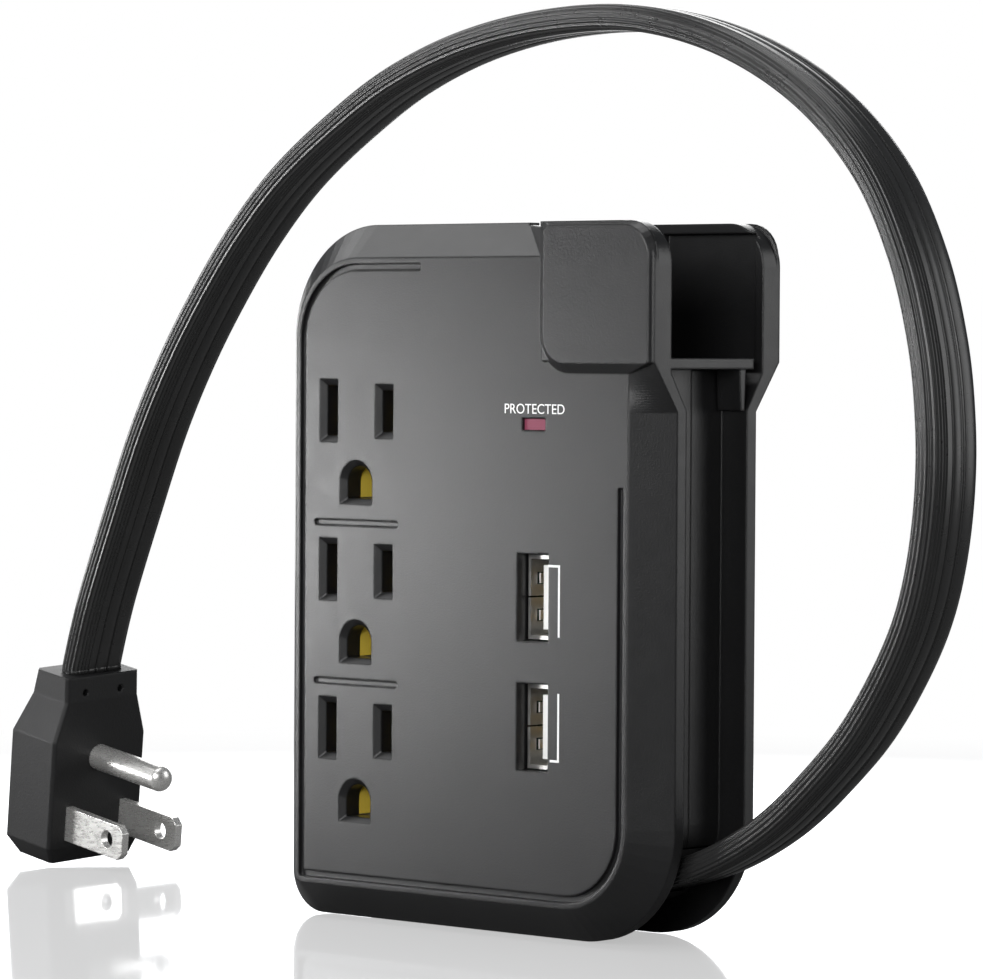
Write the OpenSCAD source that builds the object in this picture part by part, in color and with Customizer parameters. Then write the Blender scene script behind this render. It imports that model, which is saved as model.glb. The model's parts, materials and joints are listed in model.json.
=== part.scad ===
// Compact upright power strip: three sockets, two USB ports, a flat cord and its plug.
// Millimetres, +Z up, the front face looks along -Y. The cord channel's middle plane is Y = 0.

/* [Case] */
// Outside width of the case
body_width = 84.8; // [76:0.1:104]
// Outside height of the case
body_height = 116.2; // [110:0.1:142]
// Width of the slope round the front and back faces
bevel_width = 5.6; // [4.7:0.1:6.8]
// Depth of that slope
bevel_depth = 5.5; // [4.6:0.1:6.6]
// Thickness of the rim on each side of the cord channel
rim_depth = 2.2; // [1.8:0.1:2.7]
// How far the cord channel cuts into the case edge
channel_depth = 5.4; // [4.5:0.1:6.5]
// Outline radius of the upper left and lower right corners
corner_big = 19.1; // [16:0.1:23]
// Outline radius of the other two corners
corner_small = 7.1; // [6:0.1:8.5]
// Case wall thickness
wall = 2; // [1.7:0.1:2.4]

/* [Plug dock] */
// Height of the open dock at the upper right corner
dock_height = 21.9; // [18:0.1:26]
// Distance from the case's right side to the raised pad's left edge
pad_width = 22.9; // [19:0.1:27]
// How far the pad stands above the face
pad_rise = 1.1; // [0.8:0.1:1.4]
// Width of the dock between its two side walls
dock_gap = 22.9; // [19.5:0.1:27]
// Thickness of the ledge under the dock
ledge = 1.7; // [1.3:0.1:2.1]

/* [Sockets] */
// Distance between neighbouring sockets
socket_pitch = 26.6; // [25:0.1:28]
// Distance between the two blade slots of a socket
blade_spacing = 12.7; // [12.7:0.1:12.7]
// Distance from the blade line to the ground hole
ground_drop = 11.9; // [11.9:0.1:11.9]
// Width of a blade slot
slot_width = 2.3; // [2.1:0.1:2.6]
// Length of the taller, neutral slot
neutral_slot = 8.4; // [8:0.1:9]
// Length of the shorter, line slot
line_slot = 6.9; // [6.7:0.1:7.6]
// Width of the ground hole
ground_hole = 5.5; // [5.2:0.1:6]
// Case thickness behind the sockets
socket_plate = 4; // [3.4:0.1:4.6]

/* [USB ports] */
// Outside height of a port's metal shell
usb_height = 13.1; // [13.1:0.1:13.1]
// Outside width of a port's metal shell
usb_width = 5.7; // [5.7:0.1:5.7]
// Distance between the two ports
usb_pitch = 21; // [18:0.1:25]
// Height of the ports' middle above the case's middle
usb_rise = -13.1; // [-15:0.1:-11]

/* [Cord and plug] */
// Width of the flat cord
cord_width = 12.2; // [10.5:0.1:14.6]
// Thickness of the flat cord
cord_thick = 4.4; // [3.8:0.1:5.2]
// Width of the plug body
plug_width = 21.6; // [18.6:0.1:22.4]
// Depth of the plug body from its face to its back
plug_depth = 13.3; // [11:0.1:15.9]
// Length of a plug blade beyond the plug's face
blade_length = 16.4; // [16:0.1:18]
// Length of the plug's ground pin beyond the face
pin_length = 19.3; // [16:0.1:23.2]
// Forward lean of the plug as it stands
plug_tilt = 9.5; // [0:0.5:12]
// Sideways lean of the plug as it stands
plug_roll = 3.6; // [0:0.1:6]
// Turn of the plug about the vertical
plug_turn = -3.6; // [-8:0.1:8]

/* [Hidden] */
$fn = 48;

// Clearance round a piece that sits in a flat-sided seat
seat_gap = 0.2;
// Clearance between the cord and the hole it passes through
cord_gap = 0.3;
// Least free width beside the cord in its channel
channel_play = 3;
// Room beyond the tip of a ground pin, and the plate, the gap, the parts, the board and the
// posts that stand behind it
pin_room = 0.8;
back_plate = 0.9;
parts_gap = 0.4;
part_height = 4.4;
board_thick = 1.6;
post_height = 1.2;
socket_stack = pin_length + pin_room + back_plate + parts_gap + part_height + board_thick + post_height;
// The case is deep enough for the cord's channel and for the sockets' inside
body_depth = max(cord_width + channel_play + 2 * (bevel_depth + rim_depth), socket_stack + wall);
channel_gap = body_depth - 2 * (bevel_depth + rim_depth);
half_w = body_width / 2;
half_d = body_depth / 2;
rim_front = -half_d + bevel_depth;
rim_back = rim_front + rim_depth;
inside_front = -half_d + wall;
inside_back = half_d - wall;
core_inset = channel_depth;
cavity_inset = channel_depth + wall;

// Dock
ledge_top = body_height - dock_height;
ledge_bottom = ledge_top - ledge;
pad_left = half_w - pad_width;
dock_wall_x = pad_left - 8;
dock_side = dock_gap / 2;
dock_rim_y = half_d + 0.4;
pad_y = half_d + pad_rise;
slant_rise = 8;
slant_run = 6.5;
pad_foot = 1.6;

// Sockets
socket_x = -half_w + 19.54;
socket_mid_z = body_height / 2 + 0.45;
socket_z = [for (i = [1, 0, -1]) socket_mid_z + i * socket_pitch];
slot_x = blade_spacing / 2;
plate_back = -half_d + socket_plate;
carrier_left = socket_x - 11.3;
carrier_right = socket_x + 11.3;
carrier_front = plate_back;
carrier_back = -half_d + pin_length + pin_room;
carrier_low = socket_z[2] - ground_drop - 7;
carrier_high = socket_z[0] + 8;
strip_thick = 0.5;
leaf_thick = 0.5;
plug_blade_thick = 1.5;
plug_blade_height = 6.35;
pin_radius = 2.38;

// Board behind the sockets
board_back = inside_back - post_height;
board_front = board_back - board_thick;
board_left = carrier_left - 0.2;
board_right = carrier_right + 0.2;
board_low = carrier_low + 2;
board_high = carrier_high + 1;
board_screws = [
  [board_left + 4, board_low + 4], [board_right - 4, board_low + 4],
  [board_left + 4, board_high - 4], [board_right - 4, board_high - 4]
];

// USB side
usb_x = half_w - 25.7;
usb_mid_z = body_height / 2 + usb_rise;
usb_z = [usb_mid_z + usb_pitch / 2, usb_mid_z - usb_pitch / 2];
usb_front = inside_front + 0.4;
usb_length = 14;
usb_skin = 0.35;
usb_board_x = usb_x - usb_width / 2;
usb_board_low = usb_mid_z - 29;
lamp_z = body_height - 32.7;
usb_board_high = lamp_z + 4.5;
usb_board_front = inside_front + 4.3;
usb_board_back = inside_back - 1.6;

// Case screws, as X and Z pairs
screw_spots = [
  [-half_w + 16.4, body_height - 14.7], [-half_w + 37.9, body_height - 14.7],
  [-half_w + 38.4, 16], [half_w - 13, 26], [half_w - 13, ledge_bottom - 5.6]
];
screw_radius = 1.2;
screw_head_radius = 2.6;
screw_seat = 8;
boss_radius = 3.4;

// Cord exit at the lower right corner
exit_angle = 12;
exit_x = half_w - 8;
exit_z = 10.9;
grommet_thick = cord_thick + 2 * cord_gap + 2.4;
grommet_half = channel_gap / 2 - 0.2;

// Plug as it stands, and the cord's route to it
plug_low = 7.45;
plug_high = 27.5;
plug_foot = plug_width / 2 - 1.3;
plug_rest = cos(plug_tilt) * (plug_low * cos(plug_roll) + plug_foot * sin(plug_roll)) + 0.05;
plug_pos = [-79.86 - half_w, 19.2, plug_rest];
function about_x(v, a) = [v[0], v[1] * cos(a) - v[2] * sin(a), v[1] * sin(a) + v[2] * cos(a)];
function about_y(v, a) = [v[0] * cos(a) + v[2] * sin(a), v[1], v[2] * cos(a) - v[0] * sin(a)];
function about_z(v, a) = [v[0] * cos(a) - v[1] * sin(a), v[0] * sin(a) + v[1] * cos(a), v[2]];
function plug_way(v) = about_z(about_y(about_x(v, plug_roll), plug_tilt), plug_turn);
plug_up = plug_way([0, 0, 1]);
plug_out = plug_way([1, 0, 0]);
plug_side = plug_way([0, 1, 0]);
cord_inset = 3.8;
plug_top = plug_pos + plug_up * plug_high - plug_out * cord_inset;
cord_in = [cos(exit_angle), 0, sin(exit_angle)];
cord_end = [exit_x, 0, exit_z] - cord_in * 8.6;
grow_x = half_w - 42.4;
grow_z = (body_height - 2.8) / 113.4;
function wide(x) = x + grow_x * max(-1, min(1, x / 30));
function tall(z) = z < 36 ? z : 36 + (z - 36) * grow_z;
function place(p) = [wide(p[0]), p[1], tall(p[2])];
loop_points = [
  [42, 0, 13.1], [49.6, 0, 16.5], [57, 0, 21], [64, 0, 26.8], [72.3, 0, 35.1], [78.7, 0, 44.1],
  [83.5, 0, 53.3], [86.3, 0, 62.8], [87.8, 0, 74], [87.8, 0, 85], [86.2, 0, 97.2],
  [82.1, 0, 110.8], [74.8, 0, 124], [62.9, 0, 135.5], [46.9, 0.1, 144.1], [27.7, 0.9, 149],
  [6.4, 3, 149.4], [-14.4, 5.4, 146.7], [-33.5, 7.9, 141.2], [-49.9, 10.1, 133.5],
  [-64.1, 11.9, 125], [-75.7, 13.3, 115.3], [-85.5, 14.4, 104.8], [-94.4, 15.2, 93.3],
  [-102.5, 15.9, 80.4], [-109.9, 16.4, 65.1], [-116.7, 16.5, 49.2]
];
route = concat(
  [cord_end, [exit_x, 0, exit_z]],
  [for (p = loop_points) place(p)],
  [plug_top + plug_up * 2, plug_top]
);
cord_half_section = [
  [-0.5, 0.24], [-0.42, 0.48], [-0.06, 0.45], [0.2, 0.37], [0.43, 0.46], [0.5, 0.24]
];

// Outline of the case, drawn in X and Z and drawn in by i
module outline(i) {
  w = half_w - i;
  low = i;
  high = body_height - i;
  a = max(corner_big - i, 0.5);
  b = max(corner_small - i, 0.5);
  polygon([
    [-w + b, low], [w - a, low], [w, low + a], [w, high - b],
    [w - b, high], [-w + a, high], [-w, high - a], [-w, low + b]
  ]);
  translate([w - a, low + a]) circle(a);
  translate([-w + a, high - a]) circle(a);
  translate([w - b, high - b]) circle(b);
  translate([-w + b, low + b]) circle(b);
}

// A flat shape in X and Z given thickness from y0 to y1
module slab(y0, y1) {
  translate([0, y1, 0]) rotate([90, 0, 0]) linear_extrude(y1 - y0) children();
}

// A block given by its low and high corners
module block(a, b) {
  translate(a) cube(b - a);
}

// A rod along Y
module rod_y(x, z, y0, y1, r) {
  translate([x, y1, z]) rotate([90, 0, 0]) cylinder(r = r, h = y1 - y0);
}

// A rod along X
module rod_x(y, z, x0, x1, r) {
  translate([x0, y, z]) rotate([0, 90, 0]) cylinder(r = r, h = x1 - x0);
}

// A four-sided funnel along Y, w0 by h0 at y0 and w1 by h1 at y1
module funnel(x, z, y0, y1, w0, h0, w1, h1) {
  polyhedron(
    points = [
      [x - w0 / 2, y0, z - h0 / 2], [x + w0 / 2, y0, z - h0 / 2],
      [x + w0 / 2, y0, z + h0 / 2], [x - w0 / 2, y0, z + h0 / 2],
      [x - w1 / 2, y1, z - h1 / 2], [x + w1 / 2, y1, z - h1 / 2],
      [x + w1 / 2, y1, z + h1 / 2], [x - w1 / 2, y1, z + h1 / 2]
    ],
    faces = [[3, 2, 1, 0], [4, 5, 6, 7], [0, 1, 5, 4], [1, 2, 6, 5], [2, 3, 7, 6], [3, 0, 4, 7]]
  );
}

// A round wire through a list of points, mitred at its bends
function wire_ring(points, r, k) =
  let (d = unit(points[max(k, 1)] - points[max(k, 1) - 1]))
  let (next = k > 0 && k < len(points) - 1 ? unit(points[k + 1] - points[k]) : d)
  let (u = unit(cross(d, [0.1, 0.2, 1])), n = unit(d + next))
  k == 0
    ? [for (a = [0:30:330]) points[0] + (u * cos(a) + cross(d, u) * sin(a)) * r]
    : [for (q = wire_ring(points, r, k - 1)) q + d * (((points[k] - q) * n) / (d * n))];

module wire(points, r) {
  m = len(points) - 1;
  polyhedron(
    points = [for (k = [0:m]) each wire_ring(points, r, k)],
    faces = concat(
      [[for (j = [11:-1:0]) j]],
      [for (k = [0:m - 1]) for (j = [0:11])
        [k * 12 + j, k * 12 + (j + 1) % 12, (k + 1) * 12 + (j + 1) % 12, (k + 1) * 12 + j]],
      [[for (j = [0:11]) m * 12 + j]]
    )
  );
}

// The hollow inside of the case, in X and Z
module cavity_shape() {
  difference() {
    outline(cavity_inset);
    translate([dock_wall_x - wall, ledge_bottom]) square([body_width, body_height]);
  }
}

// The part of the case inside the cord channel, in X and Z
module core_shape() {
  difference() {
    outline(core_inset);
    translate([dock_wall_x, ledge_top]) square([body_width, body_height]);
  }
}

// Block that widens the case wall round the dock, for the front half
module dock_bulge() {
  x0 = pad_left - pad_foot;
  z0 = ledge_bottom + 1.1;
  dock_twist(half_w - bevel_width, half_w, z0 - slant_rise, z0);
  slab(-half_d, rim_back) intersection() {
    outline(0);
    translate([x0, z0]) square([body_width, body_height]);
  }
  slab(-dock_rim_y, rim_back) intersection() {
    outline(0);
    translate([pad_left - 0.9, z0]) square([body_width, body_height]);
  }
  hull() {
    block([x0, -half_d, body_height - bevel_width], [x0 + 2, rim_back, body_height - 0.8]);
    block([x0 - slant_run - 0.8, rim_front, body_height - bevel_width], [x0, rim_back, body_height]);
  }
  hull() {
    slab(-pad_y, -pad_y + 0.05) pad_shape(0);
    slab(-half_d, -half_d + 0.5) pad_shape(pad_foot);
  }
}

// Surface that turns from the sloped side edge into the dock's upright wall, x0 to x1 and z0 to z1
module dock_twist(x0, x1, z0, z1) {
  n = 20;
  faces_up = [for (k = [0:n - 1]) let (a = 4 * k) each [
    [a, a + 4, a + 5], [a, a + 5, a + 1], [a + 1, a + 5, a + 6, a + 2],
    [a + 2, a + 6, a + 7, a + 3], [a + 3, a + 7, a + 4, a]
  ]];
  polyhedron(
    points = [for (k = [0:n]) let (t = k / n, z = z0 + (z1 - z0) * t) each [
      [x0, -half_d, z], [x1, rim_front + (-dock_rim_y - rim_front) * t, z], [x1, rim_back, z], [x0, rim_back, z]
    ]],
    faces = concat([[0, 1, 2, 3]], faces_up, [[4 * n + 3, 4 * n + 2, 4 * n + 1, 4 * n]])
  );
}

// The raised pad's shape, grown by g
module pad_shape(g) {
  r = 4.6 + g;
  x0 = pad_left - g;
  x1 = half_w - 0.8 + min(g, 0.8);
  z0 = ledge_top - 0.9 - g;
  z1 = body_height - 0.6 + min(g, 0.6);
  polygon([
    [x0 + r, z0], [x1 - 0.3 - 3.3 * g, z0], [x1, z0 + 0.3 + 0.95 * g], [x1, z1 - 5.5], [x1 - 5.5, z1],
    [x0 + 1, z1], [x0, z1 - 1], [x0, z0 + r]
  ]);
  translate([x0 + r, z0 + r]) circle(r, $fn = 32);
  translate([x1 - 5.5, z1 - 5.5]) circle(5.5, $fn = 32);
}

// Space of the dock, with slanted ends where it narrows to the cord channel
module dock_space() {
  block([dock_wall_x, -channel_gap / 2, ledge_top], [half_w + 1, channel_gap / 2, body_height + 1]);
  for (s = [1, -1]) scale([1, s, 1]) {
    hull() {
      block([pad_left - 2.2, -dock_side, ledge_bottom - 0.6], [half_w + 1, 0, body_height + 1]);
      block([pad_left - 2.2, rim_back, ledge_bottom - 6.6], [half_w + 1, 0, ledge_bottom]);
      block([pad_left - 2.2 - slant_run, rim_back, ledge_bottom], [half_w, 0, body_height + 1]);
    }
  }
}

// One half of the case shell, for the front at Y below 0
module half_shell() {
  difference() {
    union() {
      hull() {
        slab(-half_d, -half_d + 0.02) outline(bevel_width);
        slab(rim_front - 0.02, rim_front) outline(0);
      }
      slab(rim_front - 0.01, rim_back) outline(0);
      dock_bulge();
      slab(rim_back - 0.01, 0) core_shape();
    }
    difference() {
      dock_space();
      slab(-half_d, 1) core_shape();
    }
    slab(inside_front, 0.01) cavity_shape();
    // The top edge dips a little beside the pad
    slab(-half_d - 1, rim_back + 0.01) polygon([
      [pad_left - 8.9, body_height + 1], [pad_left - 8.6, body_height - 0.4],
      [pad_left - pad_foot, body_height - 0.8], [pad_left - pad_foot, body_height + 1]
    ]);
    cord_window(grommet_thick + 2 * seat_gap, grommet_half + seat_gap);
  }
}

// Hole for the grommet where the cord leaves, along the cord's own direction
module cord_window(t, w) {
  translate([exit_x, 0, exit_z]) rotate([0, -exit_angle, 0])
    translate([-9, -w, -t / 2]) cube([12, 2 * w, t]);
}

// Opening of one blade slot through the front
module slot_cut(x, z, h) {
  block([x - slot_width / 2, -half_d - 1, z - h / 2], [x + slot_width / 2, plate_back + 1, z + h / 2]);
  funnel(x, z, -half_d - 0.05, -half_d + 0.95, slot_width + 2, h + 2.3, slot_width, h);
}

// Ground hole: round at the top, flat at the bottom
module ground_cut(x, z) {
  r = ground_hole / 2;
  rod_y(x, z, -half_d - 1, plate_back + 1, r);
  block([x - r, -half_d - 1, z - r], [x + r, plate_back + 1, z]);
  translate([x, -half_d + 0.95, z]) rotate([90, 0, 0]) cylinder(r1 = r, r2 = r + 1, h = 1);
  funnel(x, z - r / 2, -half_d - 0.05, -half_d + 0.95, 2 * r + 2, r + 2, 2 * r, r);
}

// Shallow groove line that follows the face's edge
module face_groove() {
  slab(-half_d - 1, -half_d + 0.8) difference() {
    outline(bevel_width + 1);
    outline(bevel_width + 2.1);
    translate([pad_left - 28, body_height - 42.6]) square([body_width, 60]);
  }
}

// Rounded bar groove between two sockets
module bar_groove(z) {
  block([socket_x - 9.1, -half_d - 1, z - 0.5], [socket_x + 9.1, -half_d + 0.5, z + 0.5]);
  for (s = [-1, 1]) rod_y(socket_x + s * 9.1, z, -half_d - 1, -half_d + 0.5, 0.5);
}

// Front half of the case
module front_cover() color([0.07, 0.07, 0.075]) {
  difference() {
    union() {
      half_shell();
      block([carrier_left, inside_front - 0.1, carrier_low], [carrier_right, plate_back, carrier_high]);
      for (p = screw_spots) rod_y(p[0], p[1], inside_front - 0.5, 0, boss_radius);
      // Ledge under the dock, and the small web that holds up its rear end
      block([dock_wall_x, -dock_side - 0.1, ledge_bottom], [half_w, dock_side - 2.3, ledge_top]);
      translate([half_w - core_inset + 0.2, 0, 0]) rotate([90, 0, 90])
        linear_extrude(core_inset - 0.4) polygon([
          [channel_gap / 2 - 1.7, ledge_bottom + 0.1], [channel_gap / 2 - 0.2, ledge_bottom + 0.1],
          [channel_gap / 2 - 0.5, ledge_bottom - 6.7], [channel_gap / 2 - 1.3, ledge_bottom - 6.7]
        ]);
      // Short sleeves round the ports' cutouts
      for (z = usb_z) block(
        [usb_x - usb_width / 2 - 1.55, inside_front - 0.1, z - usb_height / 2 - 1.55],
        [usb_x + usb_width / 2 + 1.55, inside_front + 3, z + usb_height / 2 + 1.55]
      );
    }
    for (i = [0:2]) {
      slot_cut(socket_x - slot_x, socket_z[i], neutral_slot);
      slot_cut(socket_x + slot_x, socket_z[i], line_slot);
      ground_cut(socket_x, socket_z[i] - ground_drop);
    }
    for (i = [0:1]) bar_groove((socket_z[i] - ground_drop + socket_z[i + 1]) / 2 + 0.55);
    face_groove();
    for (z = usb_z) {
      block(
        [usb_x - usb_width / 2 - 0.55, -half_d - 1, z - usb_height / 2 - 0.55],
        [usb_x + usb_width / 2 + 0.55, inside_front + 4, z + usb_height / 2 + 0.55]
      );
    }
    block([usb_x - 2.5, -half_d - 1, lamp_z - 1], [usb_x + 2.5, inside_front + 1, lamp_z + 1]);
    for (p = screw_spots) rod_y(p[0], p[1], -half_d + 4, 1, 1.5);
  }
}

// Back half of the case
module back_cover() color([0.07, 0.07, 0.075]) {
  difference() {
    union() {
      scale([1, -1, 1]) half_shell();
      for (p = screw_spots) rod_y(p[0], p[1], 0, inside_back + 0.5, boss_radius);
      for (p = board_screws) rod_y(p[0], p[1], board_back, inside_back + 0.5, 2.6);
      // Rails that hold the rear edge of the USB board
      for (x = [usb_board_x - board_thick - 1.4, usb_board_x + 0.2]) {
        block([x, usb_board_back - 2, usb_board_low + 1], [x + 1.2, inside_back + 0.5, usb_board_low + 12]);
      }
    }
    // The front's ledge reaches into this half, so it clears it
    block([dock_wall_x - 0.2, -1, ledge_bottom - 0.2], [half_w + 1, dock_side - 2, ledge_top + 0.2]);
    // Deeper floor inside the dock, leaving a lip round its edge
    block([pad_left + 1.7, dock_side - 1, ledge_bottom + 1.4], [half_w - 1.7, dock_side + 1.4, body_height - 1.6]);
    for (p = screw_spots) {
      rod_y(p[0], p[1], -1, half_d + 1, 1.6);
      rod_y(p[0], p[1], screw_seat, half_d + 1, 3.1);
    }
    for (p = board_screws) rod_y(p[0], p[1], board_back - 1, half_d - 0.8, 1.2);
  }
}

// Screws that hold the two halves together
module case_screws() color([0.62, 0.63, 0.65]) {
  for (p = screw_spots) {
    rod_y(p[0], p[1], -half_d + 4.6, screw_seat + 0.5, screw_radius);
    difference() {
      rod_y(p[0], p[1], screw_seat, screw_seat + 1.8, screw_head_radius);
      block([p[0] - 1.7, screw_seat + 0.8, p[1] - 0.3], [p[0] + 1.7, screw_seat + 3, p[1] + 0.3]);
      block([p[0] - 0.3, screw_seat + 0.8, p[1] - 1.7], [p[0] + 0.3, screw_seat + 3, p[1] + 1.7]);
    }
  }
}

// Insulating block with a channel for each bus bar
module socket_carrier() color([0.85, 0.83, 0.76]) {
  difference() {
    block([carrier_left, carrier_front, carrier_low], [carrier_right, carrier_back, carrier_high]);
    for (x = [socket_x - slot_x, socket_x + slot_x]) {
      block([x - 2.5, carrier_front + 1.4, carrier_low - 1], [x + 2.5, carrier_back + 1, carrier_high - 1.5]);
      for (z = socket_z) {
        block([x - slot_width / 2 - 0.3, carrier_front - 1, z - 4.6], [x + slot_width / 2 + 0.3, carrier_front + 2, z + 4.6]);
      }
    }
    block([socket_x - 3.7, carrier_front + 1.4, carrier_low - 1], [socket_x + 3.7, carrier_back + 1, carrier_high - 1.5]);
    for (z = socket_z) {
      block([socket_x - 3.5, carrier_front - 1, z - ground_drop - 3], [socket_x + 3.5, carrier_front + 2, z - ground_drop + 3.5]);
    }
  }
}

// Plate that closes the back of the carrier
module socket_back_plate() color([0.8, 0.78, 0.71]) {
  block([carrier_left, carrier_back, carrier_low], [carrier_right, carrier_back + back_plate, carrier_high]);
}

// A flat strip at the back of its channel with a tail for its wire
module bus_strip(x, w) {
  block([x - w, carrier_back - strip_thick, carrier_low + 1], [x + w, carrier_back, carrier_high - 2]);
  block([x - 1.4, carrier_back - strip_thick, carrier_low - 3.2], [x + 1.4, carrier_back, carrier_low + 2]);
}

// Two springy leaves, open at the front, that close on a blade or pin
module leaf_pair(x, z, gap, reach, high) {
  top = carrier_back - strip_thick + 0.1;
  for (s = [-1, 1]) {
    translate([x, 0, z - high / 2]) scale([s, 1, 1]) linear_extrude(high) polygon([
      [reach, top], [reach + leaf_thick, top], [gap + leaf_thick, carrier_front + 5],
      [reach + leaf_thick - 0.1, carrier_front + 2], [reach - 0.1, carrier_front + 2], [gap, carrier_front + 5]
    ]);
  }
}

module line_bus() color([0.82, 0.66, 0.28]) {
  bus_strip(socket_x + slot_x, 2.1);
  for (z = socket_z) leaf_pair(socket_x + slot_x, z, 0.65, 1.5, 7);
}

module neutral_bus() color([0.82, 0.66, 0.28]) {
  bus_strip(socket_x - slot_x, 2.1);
  for (z = socket_z) leaf_pair(socket_x - slot_x, z, 0.65, 1.5, 7);
}

// The ground leaves widen at the front, where they line the hole
module ground_bus() color([0.86, 0.72, 0.25]) {
  top = carrier_back - strip_thick + 0.1;
  f = carrier_front;
  r = ground_hole / 2;
  bus_strip(socket_x, 3.4);
  for (z = socket_z) for (s = [-1, 1]) {
    translate([socket_x, 0, z - ground_drop - 2.6]) scale([s, 1, 1]) linear_extrude(5.8) polygon([
      [r + 0.35, top], [2.7, f + 7], [r + 0.45, f + 3.2], [r + 0.45, f + 0.1],
      [r, f + 0.1], [r, f + 3], [2.2, f + 7], [r - 0.15, top]
    ]);
  }
}

// Board that carries the surge parts
module surge_board() color([0.12, 0.32, 0.16]) {
  difference() {
    block([board_left, board_front, board_low], [board_right, board_back, board_high]);
    for (p = board_screws) rod_y(p[0], p[1], board_front - 1, board_back + 1, 1.5);
  }
}

module surge_board_screws() color([0.7, 0.71, 0.73]) {
  for (p = board_screws) {
    rod_y(p[0], p[1], board_front - 1.2, board_front, 2.3);
    rod_y(p[0], p[1], board_front - 0.2, half_d - 1.4, 0.9);
  }
}

// Disc varistors lying on the board
module varistors() color([0.16, 0.28, 0.62]) {
  for (k = [0:2]) {
    rod_y(socket_x, board_high - 11 - 15.5 * k, board_front - part_height, board_front - 0.6, 7);
    for (s = [-1, 1]) {
      rod_y(socket_x + s * 3.7, board_high - 11 - 15.5 * k + s * 1.2, board_front - 0.8, board_front, 0.4);
    }
  }
}

module thermal_fuse() color([0.85, 0.85, 0.8]) {
  translate([board_left + 2.2, board_front - 2.1, board_low + 44]) cylinder(r = 1.8, h = 11);
  translate([board_left + 2.2, board_front - 2.1, board_low + 41.5]) cylinder(r = 0.4, h = 16);
  for (z = [41.9, 57.1]) rod_y(board_left + 2.2, board_low + z, board_front - 2.4, board_front, 0.4);
}

module suppression_capacitor() color([0.9, 0.75, 0.2]) {
  block([socket_x - 6.5, board_front - part_height, board_low + 9], [socket_x + 6.5, board_front, board_low + 25]);
}

module indicator_resistor() color([0.78, 0.68, 0.5]) {
  translate([board_right - 2.8, board_front - 1.7, board_low + 33]) cylinder(r = 1.2, h = 6.3);
  translate([board_right - 2.8, board_front - 1.7, board_low + 31]) cylinder(r = 0.3, h = 10.3);
  for (z = [31.3, 41]) rod_y(board_right - 2.8, board_low + z, board_front - 1.9, board_front, 0.3);
}

// Upright board that carries both ports and the indicator
module usb_board() color([0.1, 0.3, 0.15]) {
  block([usb_board_x - board_thick, usb_board_front, usb_board_low], [usb_board_x, usb_board_back, usb_board_high]);
}

// Folded metal shell of one port, with two spring tongues in its side
module usb_shell(z) {
  x0 = usb_x - usb_width / 2;
  x1 = usb_x + usb_width / 2;
  z0 = z - usb_height / 2;
  z1 = z + usb_height / 2;
  y1 = usb_front + usb_length;
  difference() {
    block([x0, usb_front, z0], [x1, y1, z1]);
    block([x0 + usb_skin, usb_front - 1, z0 + usb_skin], [x1 - usb_skin, y1 - usb_skin, z1 - usb_skin]);
    for (s = [-1, 1]) {
      block([x0 - 1, usb_front + 1.5, z + s * 3 - 1], [x0 + 1, usb_front + 5.7, z + s * 3 + 1]);
      block([x1 - 1, usb_front + 1.5, z + s * 3 - 1], [x1 + 1, usb_front + 5.7, z + s * 3 + 1]);
    }
    block([x0 - 1, usb_front - 1, z - 0.15], [x0 + 1, usb_front + 8, z + 0.15]);
  }
  // Lip round the mouth
  difference() {
    block([x0 - 0.2, usb_front, z0 - 0.3], [x1 + 0.2, usb_front + 0.3, z1 + 0.3]);
    block([x0 + usb_skin, usb_front - 1, z0 + usb_skin], [x1 - usb_skin, usb_front + 1, z1 - usb_skin]);
    block([x0 - 1, usb_front - 1, z - 0.15], [x0 + 1, usb_front + 1, z + 0.15]);
  }
  for (s = [-1, 1]) translate([x0, usb_front + 5.8, z + s * 3]) rotate([0, 0, 7]) {
    block([0, -4, -0.8], [0.3, 0, 0.8]);
  }
}

module upper_usb_shell() color([0.75, 0.76, 0.78]) usb_shell(usb_z[0]);

module lower_usb_shell() color([0.75, 0.76, 0.78]) usb_shell(usb_z[1]);

// Plastic tongues inside the ports, each with the block that fills the rear of its shell
module usb_tongues() color([0.9, 0.9, 0.88]) {
  for (z = usb_z) {
    block([usb_x - 0.1, usb_front + 0.4, z - 5.2], [usb_x + 1.9, usb_front + 9, z + 5.2]);
    block(
      [usb_x - usb_width / 2 + usb_skin, usb_front + 9, z - usb_height / 2 + usb_skin],
      [usb_x + usb_width / 2 - usb_skin, usb_front + usb_length - usb_skin, z + usb_height / 2 - usb_skin]
    );
  }
}

module usb_contacts() color([0.9, 0.75, 0.35]) {
  for (z = usb_z) {
    for (k = [-3.5, -1, 1, 3.5]) {
      block([usb_x - 0.35, usb_front + 1.4, z + k - 0.5], [usb_x - 0.1, usb_front + 9, z + k + 0.5]);
    }
  }
}

// USB power supply parts, on the board's far side unless said otherwise
side_x = usb_board_x - board_thick;
core_z = usb_mid_z + 14;
module transformer_core() color([0.2, 0.2, 0.21]) {
  difference() {
    block([side_x - 15, -9, core_z - 8], [side_x - 2, 3, core_z + 8]);
    block([side_x - 13, -10, core_z - 6], [side_x - 4, 4, core_z - 2.2]);
    block([side_x - 13, -10, core_z + 2.2], [side_x - 4, 4, core_z + 6]);
  }
}

module transformer_winding() color([0.85, 0.7, 0.15]) {
  difference() {
    union() {
      block([side_x - 12.7, -11.4, core_z - 5.8], [side_x - 4.3, 5.4, core_z + 5.8]);
      block([side_x - 4.5, 3.6, core_z - 5], [side_x, 5, core_z + 5]);
    }
    block([side_x - 14, -9, core_z - 2.2], [side_x - 3, 3, core_z + 2.2]);
    block([side_x - 20, -9, core_z + 5.99], [side_x - 1, 3, core_z + 9]);
  }
}

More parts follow.
